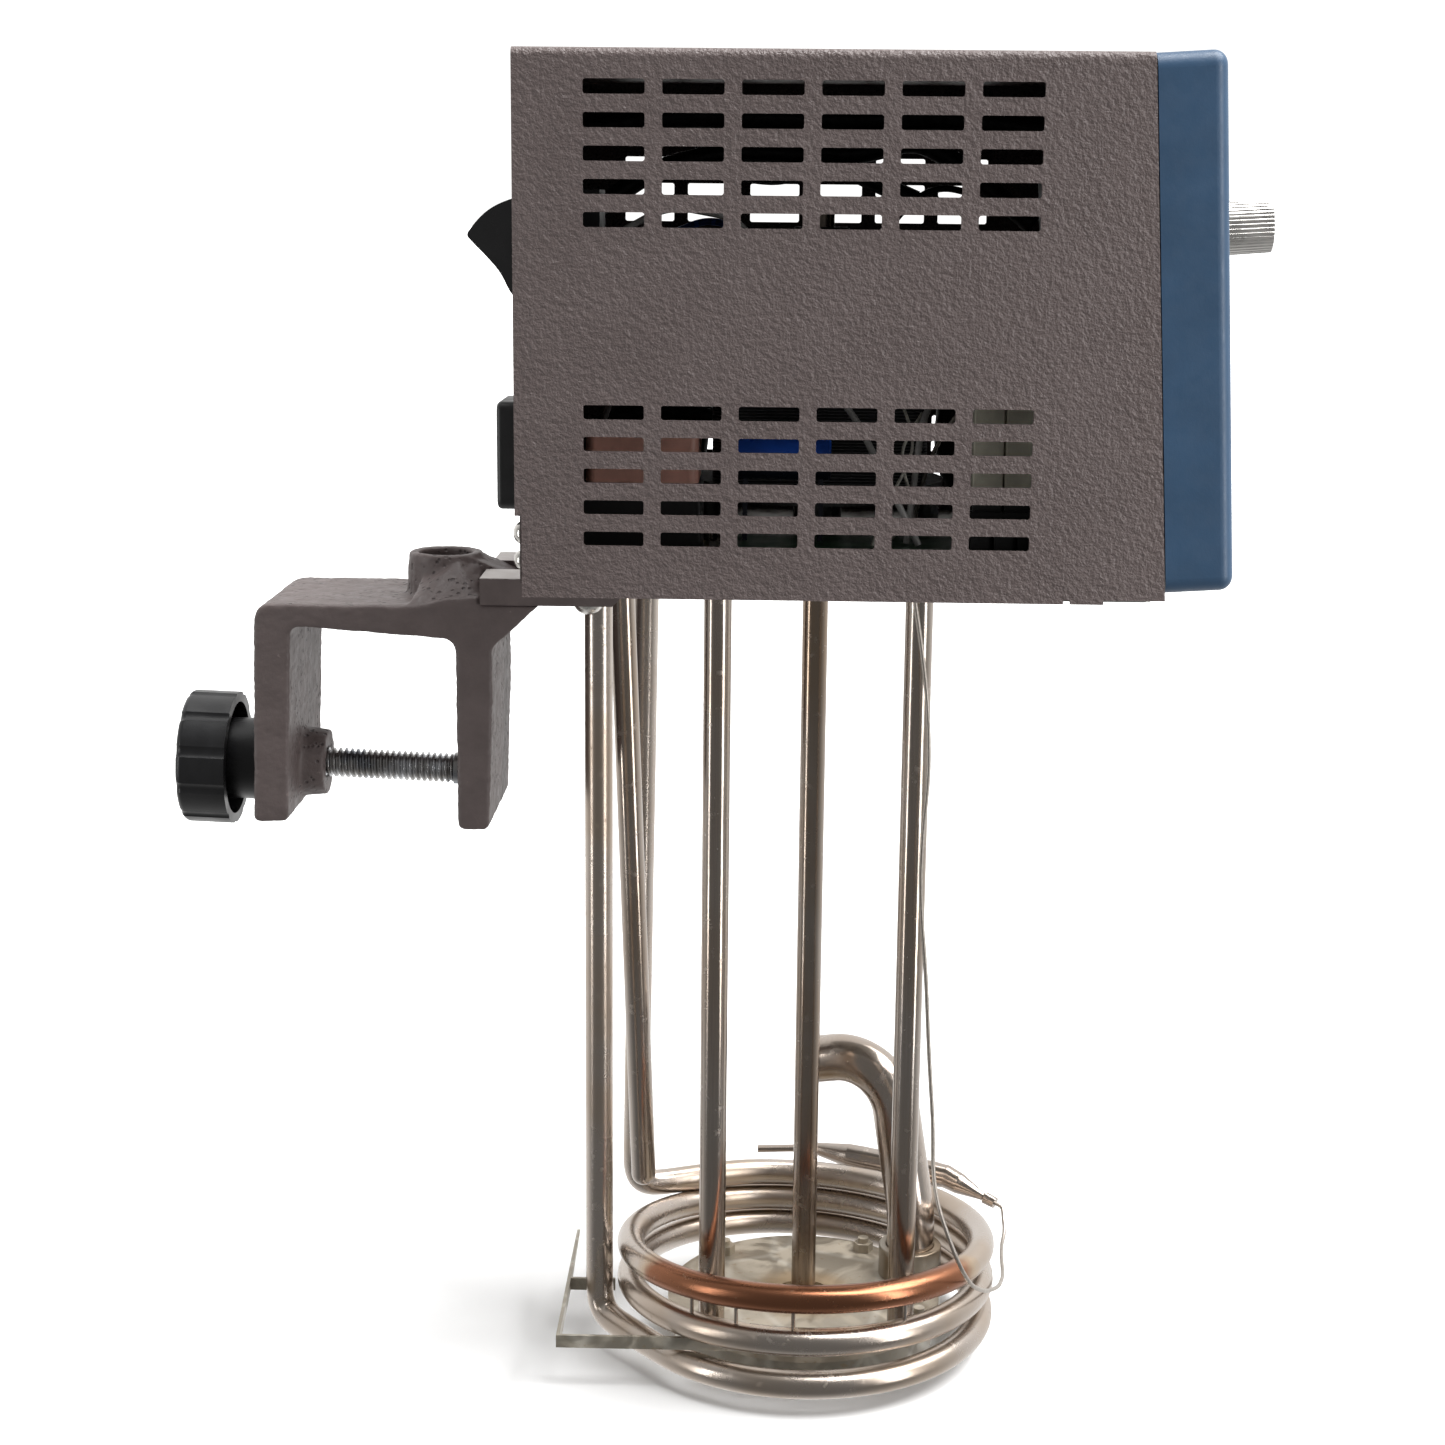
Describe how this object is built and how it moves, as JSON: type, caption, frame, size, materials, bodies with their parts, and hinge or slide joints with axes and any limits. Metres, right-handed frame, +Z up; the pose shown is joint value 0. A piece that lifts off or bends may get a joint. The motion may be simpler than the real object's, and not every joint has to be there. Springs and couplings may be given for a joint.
{
  "type": "immersion circulator",
  "caption": "Immersion circulator head with slotted box housing, coiled heater, pump on columns, sensor bulb and a screw clamp for a bath wall.",
  "frame": {"origin": "where the clamp spindle's axis meets the inner face of the fixed jaw", "axes": "+X horizontal, from the clamp towards the front panel; +Y to the housing's far side; +Z up"},
  "size_m": [0.3459, 0.19, 0.4358],
  "materials": {
    "bar_metal": "machined",
    "bezel_paint": "satin",
    "black_plastic": "fine grain",
    "board": "lacquered",
    "brass_pins": "nickelled",
    "cap_blue": "sleeve",
    "capillary_copper": "tinned",
    "case_paint": "textured satin",
    "clamp_paint": "painted casting",
    "coil_wrap": "paper wrap",
    "copper_wire": "enamelled",
    "core_steel": "laminated",
    "fan_plastic": "fine grain",
    "gloss_black": "gloss",
    "impeller_plastic": "moulded",
    "knob_metal": "knurled",
    "lamp_plastic": "clear red",
    "panel_paint": "satin",
    "relay_case": "satin",
    "scaled_steel": "lime scaled",
    "screw_chrome": "bright",
    "seal_rubber": "matt",
    "shield_alu": "cast",
    "spindle_steel": "dark zinc",
    "stainless": "polished by hand",
    "steel_sheet": "mill",
    "window_glass": "dark tint",
    "wire_skin": "satin"
  },
  "bodies": {
    "thermostat_head": {"cover": "case_paint", "base_plate": "steel_sheet", "rear_panel": "case_paint", "rear_screws": "screw_chrome", "front_bezel": "bezel_paint", "front_panel": "panel_paint", "front_chassis": "steel_sheet", "display_window": "window_glass", "indicator_lamps": "lamp_plastic", "thermostat_body": "gloss_black", "sensor_bulb": "stainless", "capillary": "capillary_copper", "capillary_grommet": "seal_rubber", "rocker_frame": "black_plastic", "mains_inlet": "black_plastic", "inlet_pins": "brass_pins", "clamp_casting": "clamp_paint", "mounting_bars": "bar_metal", "bar_spacers": "bar_metal", "bar_screws": "screw_chrome", "motor_standoffs": "steel_sheet", "end_shields": "shield_alu", "motor_stator": "core_steel", "motor_windings": "copper_wire", "motor_bearings": "screw_chrome", "tie_screws": "screw_chrome", "shaft_seal": "seal_rubber", "pump_casing": "scaled_steel", "pump_plate": "scaled_steel", "pump_screws": "screw_chrome", "support_columns": "stainless", "column_nuts": "screw_chrome", "outlet_socket": "scaled_steel", "outlet_pipe": "stainless", "heater_element": "stainless", "gland_nuts": "brass_pins", "heater_terminals": "screw_chrome", "temperature_probe": "stainless", "coil_spacers": "stainless", "guard_strip": "scaled_steel", "circuit_board": "board", "board_standoffs": "brass_pins", "transformer": "coil_wrap", "motor_capacitor": "cap_blue", "terminal_blocks": "black_plastic", "relays": "relay_case", "wires": "wire_skin"},
    "clamp_pad": {"pressure_cap": "spindle_steel"},
    "clamp_screw": {"clamp_spindle": "spindle_steel", "star_knob": "black_plastic"},
    "switch_rocker": {"rocker": "gloss_black"},
    "setting_knob": {"control_knob": "knob_metal", "thermostat_shaft": "spindle_steel"},
    "pump_rotor": {"motor_rotor": "core_steel", "motor_shaft": "stainless", "cooling_fan": "fan_plastic", "shaft_coupling": "bar_metal", "pump_shaft": "stainless", "impeller": "impeller_plastic"}
  },
  "joints": [
    {"name": "pad_slide", "type": "slide", "parent": "thermostat_head", "child": "clamp_pad", "axis": [0.9994, 0, -0.0349], "range_m": [-0.039, 0]},
    {"name": "spindle_turn", "type": "hinge", "parent": "clamp_pad", "child": "clamp_screw", "pos_m": [0, 0, 0], "axis": [0.9994, 0, -0.0349], "range_deg": [-7020, 0]},
    {"name": "rocker_tilt", "type": "hinge", "parent": "thermostat_head", "child": "switch_rocker", "pos_m": [0.033, -0.061, 0.175], "axis": [0, 1, 0], "range_deg": [-20, 0]},
    {"name": "knob_turn", "type": "hinge", "parent": "thermostat_head", "child": "setting_knob", "pos_m": [0.24099, -0.055, 0.18328], "axis": [0.998, 0, 0.0628], "range_deg": [-135, 135]},
    {"name": "pump_spin", "type": "hinge", "parent": "thermostat_head", "child": "pump_rotor", "pos_m": [0.117, 0, 0], "axis": [0, 0, 1], "continuous": true}
  ],
  "couplings": [
    {"joint": "spindle_turn", "follows": "pad_slide", "rad_per_m": 3141.6}
  ]
}
